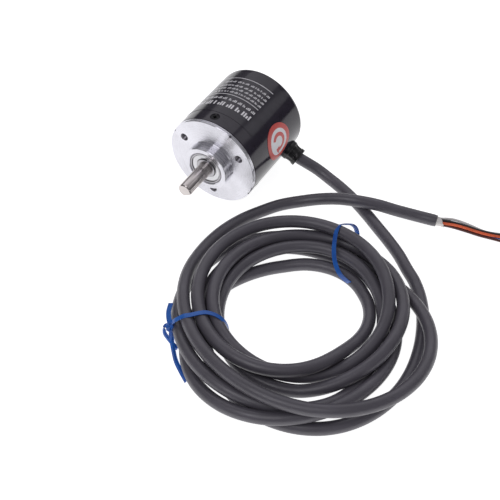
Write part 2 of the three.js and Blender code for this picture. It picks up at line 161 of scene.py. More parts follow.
# Over how many laps the coil's ends blend into the routes, and over how many they don't give way
BLEND_LAPS = 0.06
HELD_LAPS = 0.05
# How laps push each other aside: how often, each time's share of the overlap, and over how many points
SETTLE_ROUNDS = 200
PUSH_SHARE = 0.54
PUSH_POINTS = 6
# Where the ties' straps pass under the coil, how much they lift it, and over how many degrees
TIE_ANGLES = [-145.5, 97]
STRAP_LIFT = 0.65
STRAP_SPREAD = 9

# The camera, in millimetres and degrees
CAMERA_AT = (177.25, -272.61, 322.56)
CAMERA_AIM = (29.27, -26.9, 0)
CAMERA_ROLL = 0.842
CAMERA_LENS = 77.15


# Camera


def make_camera():
    camera = bpy.data.objects.new("camera", bpy.data.cameras.new("camera"))
    camera.data.lens = CAMERA_LENS
    camera.data.sensor_width = 36
    camera.data.clip_start = 0.01
    camera.data.clip_end = 10
    camera.location = Vector(CAMERA_AT) * MM
    aim = (Vector(CAMERA_AIM) - Vector(CAMERA_AT)).to_track_quat("-Z", "Y")
    roll = Matrix.Rotation(math.radians(CAMERA_ROLL), 3, "Z")
    camera.rotation_euler = (aim.to_matrix() @ roll).to_euler()
    bpy.context.collection.objects.link(camera)
    bpy.context.scene.camera = camera


make_camera()


# Materials


def add_node(tree, kind, inputs=(), **settings):
    """A new shader node. inputs pairs an input's name or number with a value or another node's output."""
    made = tree.nodes.new("ShaderNode" + kind)
    for key, value in settings.items():
        setattr(made, key, value)
    for key, value in dict(inputs).items():
        if isinstance(value, bpy.types.NodeSocket):
            tree.links.new(value, made.inputs[key])
        else:
            made.inputs[key].default_value = value
    return made


class Finish:
    """A material on one Principled shader. Its methods add detail from the object's own coordinates."""

    def __init__(self, name, colour, roughness, metallic=0.0, **sockets):
        self.material = bpy.data.materials.new(name)
        self.material.use_nodes = True
        self.tree = self.material.node_tree
        self.shader = self.tree.nodes["Principled BSDF"]
        self.colour = (*colour, 1)
        self.set(Base_Color=self.colour, Roughness=roughness, Metallic=metallic, **sockets)
        self.where = self.add("TexCoord").outputs["Object"]
        self.last_bump = None

    def set(self, **sockets):
        for socket, value in sockets.items():
            self.shader.inputs[socket.replace("_", " ")].default_value = value

    def add(self, kind, inputs=(), **settings):
        return add_node(self.tree, kind, inputs, **settings)

    def about_axis(self):
        """(distance from the shaft's axis, place along it, 0): it makes rings on whatever is turned."""
        middle = (0, 0, -AXIS_Z * MM)
        centred = self.add("VectorMath", {0: self.where, 1: middle}, operation="ADD")
        across = {0: centred.outputs[0], 1: (1, 0, 1)}
        flat = self.add("VectorMath", across, operation="MULTIPLY")
        radius = self.add("VectorMath", {0: flat.outputs[0]}, operation="LENGTH")
        parts = self.add("SeparateXYZ", {0: self.where})
        both = {0: radius.outputs["Value"], 1: parts.outputs[1]}
        return self.add("CombineXYZ", both).outputs[0]

    def noise(self, size, stretch=(1, 1, 1), detail=3, where=None):
        """Noise whose patches are about size millimetres across, times stretch."""
        scale = [1 / s for s in stretch]
        mapped = self.add("Mapping", {"Vector": where or self.where, "Scale": scale})
        settings = {"Vector": mapped.outputs[0], "Scale": 1 / (size * MM), "Detail": detail}
        return self.add("TexNoise", settings).outputs[0]

    def ranged(self, pattern, low, high, start=0.3, end=0.7):
        ends = {"From Min": start, "From Max": end, "To Min": low, "To Max": high}
        return self.add("MapRange", {"Value": pattern, **ends}).outputs[0]

    def tint(self, pattern, other, start=0.3, end=0.7):
        """Moves the colour towards another one where the pattern is high."""
        share = self.ranged(pattern, 0, 1, start, end)
        mix = self.add("Mix", {0: share, 7: (*other, 1)}, data_type="RGBA")
        base = self.shader.inputs["Base Color"]
        if base.is_linked:
            self.tree.links.new(base.links[0].from_socket, mix.inputs[6])
        else:
            mix.inputs[6].default_value = self.colour
        self.tree.links.new(mix.outputs[2], base)
        return self

    def rough(self, pattern, low, high):
        self.tree.links.new(self.ranged(pattern, low, high), self.shader.inputs["Roughness"])
        return self

    def bump(self, pattern, height):
        """Raises the surface by up to height millimetres where the pattern is high."""
        made = self.add("Bump", {"Height": pattern, "Distance": height * MM})
        if self.last_bump:
            self.tree.links.new(self.last_bump.outputs[0], made.inputs["Normal"])
        self.tree.links.new(made.outputs[0], self.shader.inputs["Normal"])
        self.last_bump = made
        return self

    def grained_round_axis(self, amount):
        """Stretches highlights across the fine rings that turning leaves."""
        self.set(Anisotropic=amount, Anisotropic_Rotation=0.25)
        tangent = self.add("Tangent", direction_type="RADIAL", axis="Y")
        self.tree.links.new(tangent.outputs[0], self.shader.inputs["Tangent"])
        return self


def turned_metal(name, colour, roughness, ring, depth, grain):
    """Metal off a lathe: rings of the given width and depth, and highlights that they stretch."""
    made = Finish(name, colour, roughness, 1)
    rings = made.noise(ring, where=made.about_axis())
    made.rough(rings, roughness * 0.8, roughness * 1.25)
    made.bump(rings, depth)
    made.tint(made.noise(6), tuple(0.9 * c for c in colour))
    return made.grained_round_axis(grain)


def plain_metal(name, colour, roughness, grain_size=0.2, depth=0.002):
    """Rolled or drawn metal: a fine grain, and slightly uneven gloss and colour."""
    made = Finish(name, colour, roughness, 1)
    made.rough(made.noise(0.6), roughness * 0.75, roughness * 1.3)
    made.tint(made.noise(2.5), tuple(0.8 * c for c in colour))
    return made.bump(made.noise(grain_size), depth)


def coated(name, colour, roughness, grain_size=0.25, depth=0.003, other=None):
    """Paint, film or moulded plastic: fine orange peel and slightly uneven gloss."""
    made = Finish(name, colour, roughness)
    made.rough(made.noise(3), roughness * 0.85, roughness * 1.2)
    made.tint(made.noise(4), other or tuple(min(1, 1.25 * c + 0.004) for c in colour))
    return made.bump(made.noise(grain_size), depth)


def jacket_finish():
    """Extruded PVC: long faint streaks, a fine matt grain and a little dust."""
    made = Finish("cable_jacket", (0.108, 0.101, 0.122), 0.34, Specular_IOR_Level=0.65)
    made.rough(made.noise(4), 0.32, 0.44)
    made.tint(made.noise(14, detail=5), (0.083, 0.078, 0.094))
    made.tint(made.noise(0.5, detail=4), (0.135, 0.13, 0.145), 0.62, 0.8)
    made.bump(made.noise(0.16, detail=2), 0.01)
    return made.bump(made.noise(1.2, detail=2), 0.02)


def board_finish():
    made = Finish("green_board", (0.02, 0.16, 0.06), 0.32)
    made.tint(made.noise(0.9, (1, 1, 5), detail=0), (0.03, 0.24, 0.09), 0.5, 0.53)
    return made.bump(made.noise(0.9, (1, 1, 5), detail=0), 0.02)


def glass_finish():
    made = Finish("optical_glass", (0.86, 0.93, 0.95), 0.05, Transmission_Weight=0.85, IOR=1.5)
    return made.rough(made.noise(2), 0.03, 0.08)


# Colour, roughness, and the width, depth and strength of the rings
TURNED_METALS = {
    "satin_aluminium": ((0.73, 0.725, 0.775), 0.25, 0.12, 0.002, 1),
    # bearing_steel is darker than the other steels: painted shade, standing in for the shadow round the
    # bearing sunk in the boss
    "bearing_steel": ((0.42, 0.41, 0.43), 0.24, 0.1, 0.002, 0.9),
    "spring_steel": ((0.62, 0.62, 0.64), 0.28, 0.2, 0.003, 0.4),
    "shaft_steel": ((0.62, 0.58, 0.565), 0.2, 0.1, 0.002, 0.9),
}
# Colour, roughness, and the grain's size and depth
PLAIN_METALS = {
    "black_screw": ((0.03, 0.03, 0.033), 0.38),
    "pressed_brass": ((0.62, 0.43, 0.17), 0.3),
    "bare_copper": ((0.75, 0.6, 0.5), 0.3, 0.12, 0.01),
}
# Colour, roughness, the grain's size and depth, and a second colour that it drifts to
COATINGS = {
    "black_cover": ((0.015, 0.0115, 0.022), 0.13, 0.25, 0.002),
    "seal_rubber": ((0.02, 0.02, 0.02), 0.6, 0.15, 0.01),
    "label_film": ((0.017, 0.0145, 0.024), 0.17, 0.3, 0.002),
    "white_print": ((0.9, 0.89, 0.92), 0.45, 0.2, 0.002, (0.8, 0.79, 0.82)),
    "sticker_film": ((0.7, 0.1, 0.085), 0.35, 0.25, 0.003, (0.62, 0.075, 0.065)),
    "black_moulding": ((0.016, 0.016, 0.017), 0.5, 0.2, 0.008),
    "chip_plastic": ((0.02, 0.02, 0.02), 0.55, 0.12, 0.006),
    "connector_plastic": ((0.72, 0.68, 0.56), 0.42, 0.3, 0.004),
    "gland_rubber": ((0.006, 0.006, 0.007), 0.2, 0.3, 0.004),
    "white_core": ((0.7, 0.68, 0.66), 0.4),
    "black_core": ((0.02, 0.018, 0.018), 0.4),
    "orange_core": ((0.75, 0.12, 0.035), 0.38),
    "blue_core": ((0.03, 0.06, 0.3), 0.38),
    "brown_core": ((0.09, 0.025, 0.02), 0.38),
    "tie_plastic": ((0.01, 0.09, 0.42), 0.32, 0.3, 0.004, (0.015, 0.14, 0.55)),
}
FINISHES = {
    "cable_jacket": jacket_finish(),
    "green_board": board_finish(),
    "optical_glass": glass_finish(),
}
for make, looks in ((turned_metal, TURNED_METALS), (plain_metal, PLAIN_METALS), (coated, COATINGS)):
    FINISHES.update({name: make(name, *look) for name, look in looks.items()})

# Painted shade: the walls of the holes cut in the flange are darkened to stand in for the shade inside
# them
HOLE_SHADE = plain_metal("hole_shade_aluminium", (0.28, 0.27, 0.3), 0.3)


# Shapes: each is a pair of its points, in millimetres, and its faces, which name points by number


def joined(shapes):
    """Several shapes as one."""
    points, faces, count = [], [], 0
    for some, around in shapes:
        points.append(some)
        faces += [[i + count for i in face] for face in around]
        count += len(some)
    return np.concatenate(points), faces


def round_turns(count):
    return np.linspace(0, 2 * math.pi, count, endpoint=False)


def eased(outline, size, steps=3):
    """The outline with its corners rounded off by size, or less where a side is short."""
    corners = [np.array(p, float) for p in outline]
    open_ended = corners[0][0] == 0 or corners[-1][0] == 0
    made = []
    for i, corner in enumerate(corners):
        if open_ended and i in (0, len(corners) - 1):
            made.append(corner)
            continue
        ends = []
        for other in (corners[i - 1], corners[(i + 1) % len(corners)]):
            side = other - corner
            length = np.linalg.norm(side)
            ends.append(corner + side * min(size / length, 0.45))
        for t in np.linspace(0, 1, steps + 1):
            made.append((1 - t) ** 2 * ends[0] + 2 * t * (1 - t) * corner + t**2 * ends[1])
    return made


def turned(outline, sides=96):
    """A closed shape turned about its own Y axis from corners given as (radius, place)."""
    turn = round_turns(sides)
    ring = np.stack([np.cos(turn), np.zeros(sides), np.sin(turn)], 1)
    points, rows = [], []
    for radius, place in outline:
        start = len(points)
        if radius < 1e-6:
            points.append((0, place, 0))
        else:
            points.extend(ring * radius + (0, place, 0))
        rows.append(list(range(start, len(points))))
    pairs = list(zip(rows, rows[1:]))
    if len(rows[0]) > 1 and len(rows[-1]) > 1:
        pairs.append((rows[-1], rows[0]))
    faces = []
    for a, b in pairs:
        for i in range(sides):
            j = i + 1
            corners = [a[i % len(a)], a[j % len(a)], b[j % len(b)], b[i % len(b)]]
            face = list(dict.fromkeys(corners))
            if len(face) > 2:
                faces.append(face)
    return np.array(points), faces


def rod(radius, start, end, sides=32):
    return turned([(0, start), (radius, start), (radius, end), (0, end)], sides)


def block(size, centre=(0, 0, 0)):
    corners = np.array([(x, y, z) for x in (-1, 1) for y in (-1, 1) for z in (-1, 1)]) / 2
    faces = [[0, 1, 3, 2], [4, 6, 7, 5], [0, 4, 5, 1], [2, 3, 7, 6], [0, 2, 6, 4], [1, 5, 7, 3]]
    return corners * size + centre, faces


def outward(angle):
    turn = math.radians(angle)
    return np.array([math.cos(turn), 0, math.sin(turn)])


def on_axis(shape):
    return shape[0] + (0, 0, AXIS_Z), shape[1]


def beside(shape, radius, angle):
    """The shape moved off the shaft's axis, without turning it."""
    return shape[0] + radius * outward(angle) + (0, 0, AXIS_Z), shape[1]


def turned_about_y(shape, angle):
    """The shape turned about the Y axis, so that its X points at the angle."""
    x, y, z = shape[0].T[:, :, None]
    return x * outward(angle) + y * (0, 1, 0) + z * outward(angle + 90), shape[1]


def radially(shape, angle, place):
    """The shape with its own Y axis pointing outwards from the shaft's axis."""
    x, y, z = shape[0].T[:, :, None]
    return x * outward(angle + 90) + y * outward(angle) + z * (0, 1, 0) + (0, place, AXIS_Z), shape[1]


def on_body(rows, low, high):
    """A thin slab on the round body between two heights above it, from rows of (angle, place) points."""
    rows = np.array(rows, float)
    count, across = rows.shape[:2]
    turn = np.radians(rows[..., 0])
    layers = []
    for radius in (BODY_R + low, BODY_R + high):
        place = [radius * np.cos(turn), rows[..., 1], AXIS_Z + radius * np.sin(turn)]
        layers.append(np.stack(place, -1).reshape(-1, 3))
    at = np.arange(count * across).reshape(count, across)
    above = count * across
    faces = []
    for i in range(count - 1):
        for j in range(across - 1):
            quad = [at[i, j], at[i + 1, j], at[i + 1, j + 1], at[i, j + 1]]
            faces += [quad[::-1], [q + above for q in quad]]
    edge = [*at[0, :], *at[1:, -1], *at[-1, -2::-1], *at[-2:0:-1, 0]]
    faces += [[a, b, b + above, a + above] for a, b in zip(edge, edge[1:] + edge[:1])]
    return np.concatenate(layers), [[int(i) for i in face] for face in faces]


def smooth_line(points, step):
    """A smooth curve through the points, as points about step apart."""
    points = np.array(points, float)
    gaps = np.linalg.norm(np.diff(points, axis=0), axis=1)
    at = np.concatenate([[0], np.cumsum(gaps)])
    slope = np.gradient(points, at, axis=0)
    fine = np.linspace(0, at[-1], math.ceil(at[-1] / step) + 1)
    i = np.clip(np.searchsorted(at, fine, side="right") - 1, 0, len(gaps) - 1)
    gap = gaps[i][:, None]
    t = (fine - at[i])[:, None] / gap
    start, end = points[i], points[i + 1]
    rise = t * (1 - t) ** 2 * slope[i] - t * t * (1 - t) * slope[i + 1]
    return start + (3 * t**2 - 2 * t**3) * (end - start) + gap * rise


def unit(vectors):
    return vectors / np.linalg.norm(vectors, axis=-1, keepdims=True)


def heading(line, closed=False):
    """Which way the line goes at each of its points."""
    if closed:
        return unit(np.roll(line, -1, 0) - np.roll(line, 1, 0))
    return unit(np.gradient(line, axis=0))


def tube_faces(count, sides, closed):
    """Faces between each ring of points and the next, with two caps, or back to the first ring."""
    at = np.arange(count * sides).reshape(count, sides)
    before, after = (at, np.roll(at, -1, 0)) if closed else (at[:-1], at[1:])
    quads = np.stack([before, np.roll(before, -1, 1), np.roll(after, -1, 1), after], -1)
    caps = [] if closed else [at[0].tolist(), at[-1][::-1].tolist()]
    return quads.reshape(-1, 4).tolist() + caps


def swept(line, section, wide=None, closed=False):
    """A section carried along a line. wide is where its first axis points, or None to let it roll."""
    ahead = heading(line, closed)
    if wide is None:
        side = [unit(np.cross(ahead[0], (0.1, 0.2, 1)))]
        for way in ahead[1:]:
            side.append(unit(side[-1] - way * (side[-1] @ way)))
        side = np.array(side)
    else:
        wide = np.broadcast_to(wide, line.shape)
        side = unit(wide - ahead * (wide * ahead).sum(1, keepdims=True))
    up = np.cross(ahead, side)
    if section.ndim == 2:
        section = np.broadcast_to(section, (len(line), *section.shape))
    points = line[:, None] + section[..., :1] * side[:, None] + section[..., 1:] * up[:, None]
    return points.reshape(-1, 3), tube_faces(*points.shape[:2], closed)


def circle(sides):
    turn = round_turns(sides)
    return np.stack([np.cos(turn), np.sin(turn)], 1)


def round_wire(line, radius):
    """A tube along a line, domed at both ends."""
    dome = np.array([0.0, 0.35, 0.6, 0.8, 0.93, 1.0])
    radii = np.concatenate([dome * radius, np.full(len(line) - 2, radius), dome[::-1] * radius])
    radii = np.maximum(radii, radius * 0.05)
    ends = []
    for tip, inner in ((line[0], line[1]), (line[-1], line[-2])):
        back = (1 - np.sqrt(1 - dome**2))[:, None] * radius
        ends.append(tip + unit(inner - tip) * back)
    whole = np.concatenate([ends[0], line[1:-1], ends[1][::-1]])
    return swept(whole, circle(12)[None] * radii[:, None, None])


# Pieces


def solid(name, shape, material, angle=30):
    points, faces = shape
    mesh = bpy.data.meshes.new(name)
    mesh.from_pydata((points * MM).tolist(), [], faces)
    work = bmesh.new()
    work.from_mesh(mesh)
    bmesh.ops.recalc_face_normals(work, faces=work.faces)
    work.to_mesh(mesh)
    work.free()
    mesh.materials.append(material)
    made = bpy.data.objects.new(name, mesh)
    bpy.context.collection.objects.link(made)
    shade(made, angle)
    return made


def shade(piece, angle):
    """Smooth, but for edges that are sharper than the angle."""
    piece.data.shade_smooth()
    piece.data.set_sharp_from_angle(angle=math.radians(angle))


def carve(piece, cutters, angle, inside):
    """Cuts shapes out of the piece. inside is the material of the faces that this makes."""
    made_by_cutting = inside or piece.data.materials[0]
    tools = [solid("cutter", cutter, made_by_cutting) for cutter in cutters]
    for tool in tools:
        change = piece.modifiers.new("carve", "BOOLEAN")
        change.solver = "EXACT"
        change.material_mode = "TRANSFER"
        change.object = tool
    bpy.context.view_layer.update()
    evaluated = piece.evaluated_get(bpy.context.evaluated_depsgraph_get())
    cut = bpy.data.meshes.new_from_object(evaluated)
    piece.modifiers.clear()
    work = bmesh.new()
    work.from_mesh(cut)
    bmesh.ops.remove_doubles(work, verts=work.verts, dist=0.001 * MM)
    bmesh.ops.dissolve_degenerate(work, edges=work.edges, dist=0.0005 * MM)
    work.to_mesh(cut)
    work.free()
    piece.data = cut
    for tool in tools:
        bpy.data.objects.remove(tool)
    shade(piece, angle)


def stand_in(node, shape, cutters=(), **making):
    """A finer piece for one CAD node, on the same body and with the same slot."""
    made = extra(node + "_fine", shape, SLOT_OF[node], BODY_OF[node], cutters, **making)
    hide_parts(node)
    return made


def extra(name, shape, slot, body="housing", cutters=(), angle=30, inside=None):
    """A piece that rides on a body and has a slot's finish."""
    made = solid(name, shape, FINISHES[slot].material, angle)
    if cutters:
        carve(made, cutters, angle, inside)
    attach(made, body)
    return made


# Cord


def lap_values(rows, turns):
    """What the rows give at each place of the coil, in laps from its start."""
    rows = np.array(rows)
    lap = np.minimum(turns.astype(int), len(rows) - 2)
    part = (turns - lap)[:, None]
    mixed = rows[lap] * (1 - part) + rows[lap + 1] * part
    turn = np.radians(COIL_START) - 2 * math.pi * turns
    waves = [np.ones_like(turn), np.cos(turn), np.sin(turn), np.cos(2 * turn), np.sin(2 * turn)]
    return (mixed * np.stack(waves, 1)).sum(1)


def floor_under(turns):
    """The lowest that the cable's middle can lie: on the floor, or on a tie's strap."""
    turn = COIL_START - 360 * turns
    lift = np.zeros_like(turns)
    for angle in TIE_ANGLES:
        off = (turn - angle + 180) % 360 - 180
        lift += STRAP_LIFT * np.exp(-((off / STRAP_SPREAD) ** 2))
    return CABLE_R + lift


def near_end(turns, end, laps):
    """1 at an end of the coil, and less with the distance from it."""
    return np.exp(-(((turns - turns[end]) / laps) ** 2))


def settled_coil():
    """Radius and height all along the coil, once laps that share a place have pushed each other aside."""
    turns = np.arange(round(COIL_DEGREES / 360 * LAP_STATIONS) + 1) / LAP_STATIONS
    place = np.stack([lap_values(LAP_PLANS, turns), lap_values(LAP_HEIGHTS, turns)])
    for end, point in ((0, LEAD_ROUTE[-1]), (-1, TAIL_ROUTE[0])):
        x, y, height = np.array(point) / MM
        wanted = np.array([math.hypot(x - COIL_CENTRE[0], y - COIL_CENTRE[1]), height])
        place += near_end(turns, end, BLEND_LAPS) * (wanted - place[:, end])[:, None]
    spread = np.exp(-0.5 * (np.arange(-2 * PUSH_POINTS, 2 * PUSH_POINTS + 1) / PUSH_POINTS) ** 2)
    spread *= PUSH_SHARE / spread.sum()
    gives_way = 1 - near_end(turns, 0, HELD_LAPS) - near_end(turns, -1, HELD_LAPS)
    lowest = floor_under(turns)
    place[1] = np.maximum(place[1], lowest)
    for _ in range(SETTLE_ROUNDS):
        push = np.zeros_like(place)
        for lap in range(1, len(LAP_PLANS) - 1):
            step = lap * LAP_STATIONS
            apart = place[:, step:] - place[:, :-step]
            gap = np.hypot(*apart) + 1e-9
            half = apart * (np.maximum(0, 2 * CABLE_R - gap) / 2 / gap)
            push[:, :-step] -= half
            push[:, step:] += half
        place += gives_way * [np.convolve(row, spread, "same") for row in push]
        place[1] = np.maximum(place[1], lowest)
    return turns, *place


def coil_points(turns, radius, height):
    turn = np.radians(COIL_START) - 2 * math.pi * turns
    x = COIL_CENTRE[0] + radius * np.cos(turn)
    y = COIL_CENTRE[1] + radius * np.sin(turn)
    return np.stack([x, y, height], 1)


# How far from the shaft's axis the jacket starts, and how far apart the points on its line are
JACKET_START = 19
CABLE_STEP = 1.5
# Where the jacket is cut: the hole's radius and depth, and how much the rim draws in
CUT = {"bore": 1.95, "depth": 4, "rim": 0.15}


def jacket_line(coil):
    """The jacket's middle from inside the gland to where it's cut."""
    start = radially((np.array([[0, JACKET_START, 0]]), []), GLAND_ANGLE, GLAND_Y)[0]
    lead, tail = np.array(LEAD_ROUTE[:-1]) / MM, np.array(TAIL_ROUTE[1:]) / MM
    return smooth_line(np.concatenate([start, lead, coil, tail]), CABLE_STEP)


def jacket_shape(line):
    """The cable's jacket: a round tube whose last stretch is open, as it is cut round the wires."""
    outer = np.full(len(line), CABLE_R)
    outer[-1] = CABLE_R - CUT["rim"]
    back = unit(line[-3] - line[-1])
    ring = circle(24)
    points, faces = swept(line, ring[None] * outer[:, None, None])
    sides = len(ring)
    last = points[-sides:]
    axis = line[-1]
    bored = [axis + (last - axis) * (CUT["bore"] / outer[-1])]
    bored.append(bored[0] + back * CUT["depth"])
    start = len(points) - sides
    hole = [*tube_faces(3, sides, False)[: 2 * sides], range(2 * sides, 3 * sides)]
    faces = faces[:-1] + [[start + i for i in face] for face in hole]
    return np.concatenate([points, *bored]), faces


def softened(stops, values, along):
    """Values between the stops, with the bends between them smoothed."""
    window = np.hanning(11) / np.hanning(11).sum()
    return np.convolve(np.pad(np.interp(along, stops, values), 5, "edge"), window, "valid")[:, None]


def bunched(route, places):
    """Wire lines along a route. places gives each wire's (sideways, upwards) at stages along it."""
    middle = smooth_line(np.array(route) / MM, 1)
    ahead = heading(middle)
    side = unit(np.stack([-ahead[:, 1], ahead[:, 0], np.zeros(len(middle))], 1))
    along = np.linspace(0, 1, len(middle))
    lines = []
    for stages in places:
        at, across, up = np.array(stages, float).T
        lines.append(middle + side * softened(at, across, along) + UP * softened(at, up, along))
    return lines


cable_line = jacket_line(coil_points(*settled_coil()))
jacket = extra("cable_jacket", jacket_shape(cable_line), "cable_jacket")
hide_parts("cable_lead", "cable_coil", "cable_tail")

# A wire's radius with and without its insulation, how far the wires stand from the jacket's middle
# where they leave it, and how many millimetres of each wire are bare
WIRE_R = 0.55
BARE_R = 0.3
RING_R = 1.12
TINNED = 5
# Each wire: its place in the ring of five where it leaves the jacket, in degrees, and then its places
# in the bunch, as (how far along, sideways, upwards)
WIRES = {
    "conductor_white": (18, [(0.14, 2, 1.3), (0.26, 2.1, 1), (0.4, 1.5, 0.2), (0.85, 2.8, 0)]),
    "conductor_black": (90, [(0.2, 0.6, 1.05), (0.55, 0.6, 1), (0.8, 1.4, 0)]),
    "conductor_orange": (162, [(0.2, -0.55, 1.1), (0.6, -0.6, 1.1), (0.85, 0, 0)]),
    "conductor_blue": (306, [(0.2, 0, 0), (0.5, 0, 0), (0.75, -1.4, 0)]),
    "conductor_brown": (234, [(0.2, -1.16, 0), (0.45, -1.16, 0), (0.65, -2.8, 0)]),
}
# The sleeve round the wires: its radii, how far back it starts, and its short and long sides
WRAP = {"inner": 1.74, "outer": 1.9, "back": 3, "short": 1.2, "long": 3.4}


def wire_places():
    places = []
    for angle, bunch in WIRES.values():
        turn = math.radians(angle)
        ring = (RING_R * math.cos(turn), RING_R * math.sin(turn))
        settled = bunch[-1][1:]
        places.append([(0, *ring), (0.07, *ring), *bunch, (1, *settled)])
    return places


def wrap():
    """A thin sleeve round the wires, torn off at a slant past the jacket's end."""
    end = cable_line[-1]
    ahead = unit(cable_line[-1] - cable_line[-3])
    side = unit(np.cross(ahead, UP))
    up = np.cross(side, ahead)
    points = []
    sides = 40
    stages = [("outer", False), ("outer", True), ("inner", True), ("inner", False)]
    for face, at_tear in stages:
        for turn in round_turns(sides):
            slant = 0.5 + 0.5 * math.cos(turn + 0.5) + 0.06 * math.sin(7 * turn)
            torn = WRAP["short"] + (WRAP["long"] - WRAP["short"]) * slant
            along = torn if at_tear else -WRAP["back"]
            across = side * math.cos(turn) + up * math.sin(turn)
            points.append(end + ahead * along + across * WRAP[face])
    shape = (np.array(points), tube_faces(len(stages), sides, True))
    return extra("wire_wrap", shape, "white_core")


def make_wires():
    """The five wires, which start a little way inside the jacket, and their bare ends."""
    made = []
    first, second = np.array(WIRE_ROUTE[:2])
    inside = first - (second - first) * 0.6
    for name, line in zip(WIRES, bunched([inside, *WIRE_ROUTE], wire_places())):
        made.append(stand_in(name, round_wire(line[:-TINNED], WIRE_R)))
        made.append(extra(name + "_bare_end", round_wire(line[-TINNED - 2 :], BARE_R), "bare_copper"))
    return made


cord_pieces = [*make_wires(), wrap()]


# Housing


def flange_base():
    seat = BEARING_R + PLAY
    rim = FACE_Y + 0.75
    step = FRONT_BEARING_Y + BEARING_WIDTH + 0.5
    body = turned(eased([
        (seat + 0.35, BOSS_Y), (BOSS_R - 0.3, BOSS_Y), (BOSS_R, BOSS_Y + 0.3),
        (BOSS_R, FACE_Y - 0.3), (BOSS_R + 0.3, FACE_Y), (BODY_R - 0.3, FACE_Y),
        (BODY_R, FACE_Y + 0.3), (BODY_R, rim - 0.1), (BODY_R - 0.25, rim),
        (BODY_R - 0.25, rim + 0.12), (BODY_R, rim + 0.22), (BODY_R, COVER_Y - 0.2),
        (SPIGOT_R - 1, COVER_Y - 0.2), (SPIGOT_R - 1, COVER_Y + 1), (SPIGOT_R, COVER_Y + 1),
        (SPIGOT_R, SPIGOT_END_Y), (9.5, SPIGOT_END_Y), (9.5, HUB_TUBE_END_Y),
        (seat, HUB_TUBE_END_Y), (seat, REAR_BEARING_Y - 0.1), (6, REAR_BEARING_Y - 0.1),
        (6, step), (seat, step), (seat, BOSS_Y + 0.35),
    ], 0.06, 2), 160)
    cutters = [beside(threaded_hole(), MOUNT_R, angle) for angle in MOUNT_ANGLES]
    cutters += [beside(rod(0.5, FACE_Y - 1, FACE_Y + 0.7, 24), BODY_R - 0.15, angle)
                for angle in STAKE_ANGLES]
    cutters += [radially(rod(1.1, INNER_R - 4, INNER_R + 1, 24), angle, COVER_SCREW_Y)
                for angle in COVER_SCREW_ANGLES]
    # The holes' cut walls take the darkened finish that paints shade into them
    stand_in("flange_base", on_axis(body), cutters, inside=HOLE_SHADE.material)


def threaded_hole():
    """The hollow of an M3 thread, 6 deep, with a chamfer at its mouth."""
    outline = [(0, FACE_Y - 1), (1.75, FACE_Y - 1), (1.75, FACE_Y), (1.3, FACE_Y + 0.45)]
    for k in range(10):
        place = FACE_Y + 0.6 + 0.5 * k
        outline += [(1.28, place), (1.5, place + 0.22)]
    return turned([*outline, (1.25, FACE_Y + 5.8), (0, FACE_Y + 6)], 32)


def cover():
    cup = turned(eased([
        (BODY_R - 0.06, COVER_Y), (BODY_R, COVER_Y + 0.08), (BODY_R, REAR_Y - 1.3),
        (BODY_R - 0.35, REAR_Y - 0.4), (BODY_R - 1.3, REAR_Y), (0, REAR_Y), (0, REAR_Y - 1.6),
        (INNER_R - 0.5, REAR_Y - 1.6), (INNER_R, REAR_Y - 2.1), (INNER_R, COVER_Y),
    ], 0.25, 4), 160)
    sink = turned([(0, 15), (1.15, 15), (1.15, 18.9), (2, 19.75), (2, 21), (0, 21)], 40)
    cutters = [radially(sink, angle, COVER_SCREW_Y) for angle in COVER_SCREW_ANGLES]
    cutters.append(radially(rod(3.55, 15, 22, 48), GLAND_ANGLE, GLAND_Y))
    stand_in("cover", on_axis(cup), cutters)


def seal_ring():
    inside, outside, end = SPIGOT_R - 0.9, SPIGOT_R + 0.15, COVER_Y + 0.85
    ring = [(inside, COVER_Y), (outside, COVER_Y), (outside, end), (inside, end)]
    stand_in("seal_ring", on_axis(turned(eased(ring, 0.35, 5), 128)))


def cover_screws():
    outline = [(0, 15.6), (0.7, 15.6), (0.95, 15.9), (0.95, 18.9), (1.82, 19.72), (0, 19.76)]
    screw = turned(eased(outline, 0.05, 2), 40)
    slots = [block(size, (0, 19.6, 0)) for size in ((1.9, 1, 0.38), (0.38, 1, 1.9))]
    cone = turned([(0, 18.6), (0.25, 18.7), (0.62, 19.9), (0, 19.9)], 20)
    for i, angle in enumerate(COVER_SCREW_ANGLES):
        cutters = [radially(shape, angle, COVER_SCREW_Y) for shape in (*slots, cone)]
        stand_in(f"cover_screw_{i + 1}", radially(screw, angle, COVER_SCREW_Y), cutters)


flange_base()
cover()
seal_ring()
cover_screws()


# Printed film

# Angles about the axis where the film starts and ends, and where its print starts
LABEL_ANGLES = (45, 216)
PRINT_START = 61
# Rows of upright strokes: place along the axis, height, stroke width, and strokes in each group
PRINT_ROWS = [
    (4.0, 2.4, 0.7, [4, 2, 3, 3, 1, 3, 4, 3, 3, 3]),
    (7.5, 1.35, 0.4, [3, 3, 2, 3, 3, 2, 0, 3, 3, 3, 3, 3, 2, 3]),
    (12.2, 1.05, 0.35, [3, 2, 3, 3, 1, 2, 1, 3, 3, 0, 1, 2, 2, 2, 0, 3, 3]),
    (14.4, 1.05, 0.35, [3, 2, 3, 3, 3, 0, 3, 2, 3, 3, 0, 3, 1, 2, 3, 2]),
    (16.6, 1.05, 0.35, [3, 1, 3, 2, 0, 3, 3, 0, 3, 3, 2, 3, 3, 3]),
    (19.2, 1.05, 0.35, [3, 3, 1, 2, 1, 3, 0, 3, 2, 3, 0, 3, 3, 3]),
]
# A short stroke's share of the height, and the strokes' pitch and the groups' gap in stroke widths
SHORT_STROKE = 0.62
STROKE_PITCH = 1.55
GROUP_GAP = 1.3
# Lines across the print: place along the axis, thickness, and length in degrees
PRINT_RULES = [(10.3, 0.3, 118), (22.0, 0.3, 118)]
# How high each layer starts and ends above the body
FILM = (0.01, 0.1)
INK = (0.1, 0.115)


def degrees_of(length):
    return math.degrees(length / BODY_R)


def bar(start, end, at, high, layer):
    """A mark along the body's curve, from one angle to another."""
    count = max(2, math.ceil((end - start) / 2.5))
    stops = np.linspace(start, end, count + 1)
    return on_body([[(a, at - high / 2), (a, at + high / 2)] for a in stops], *layer)


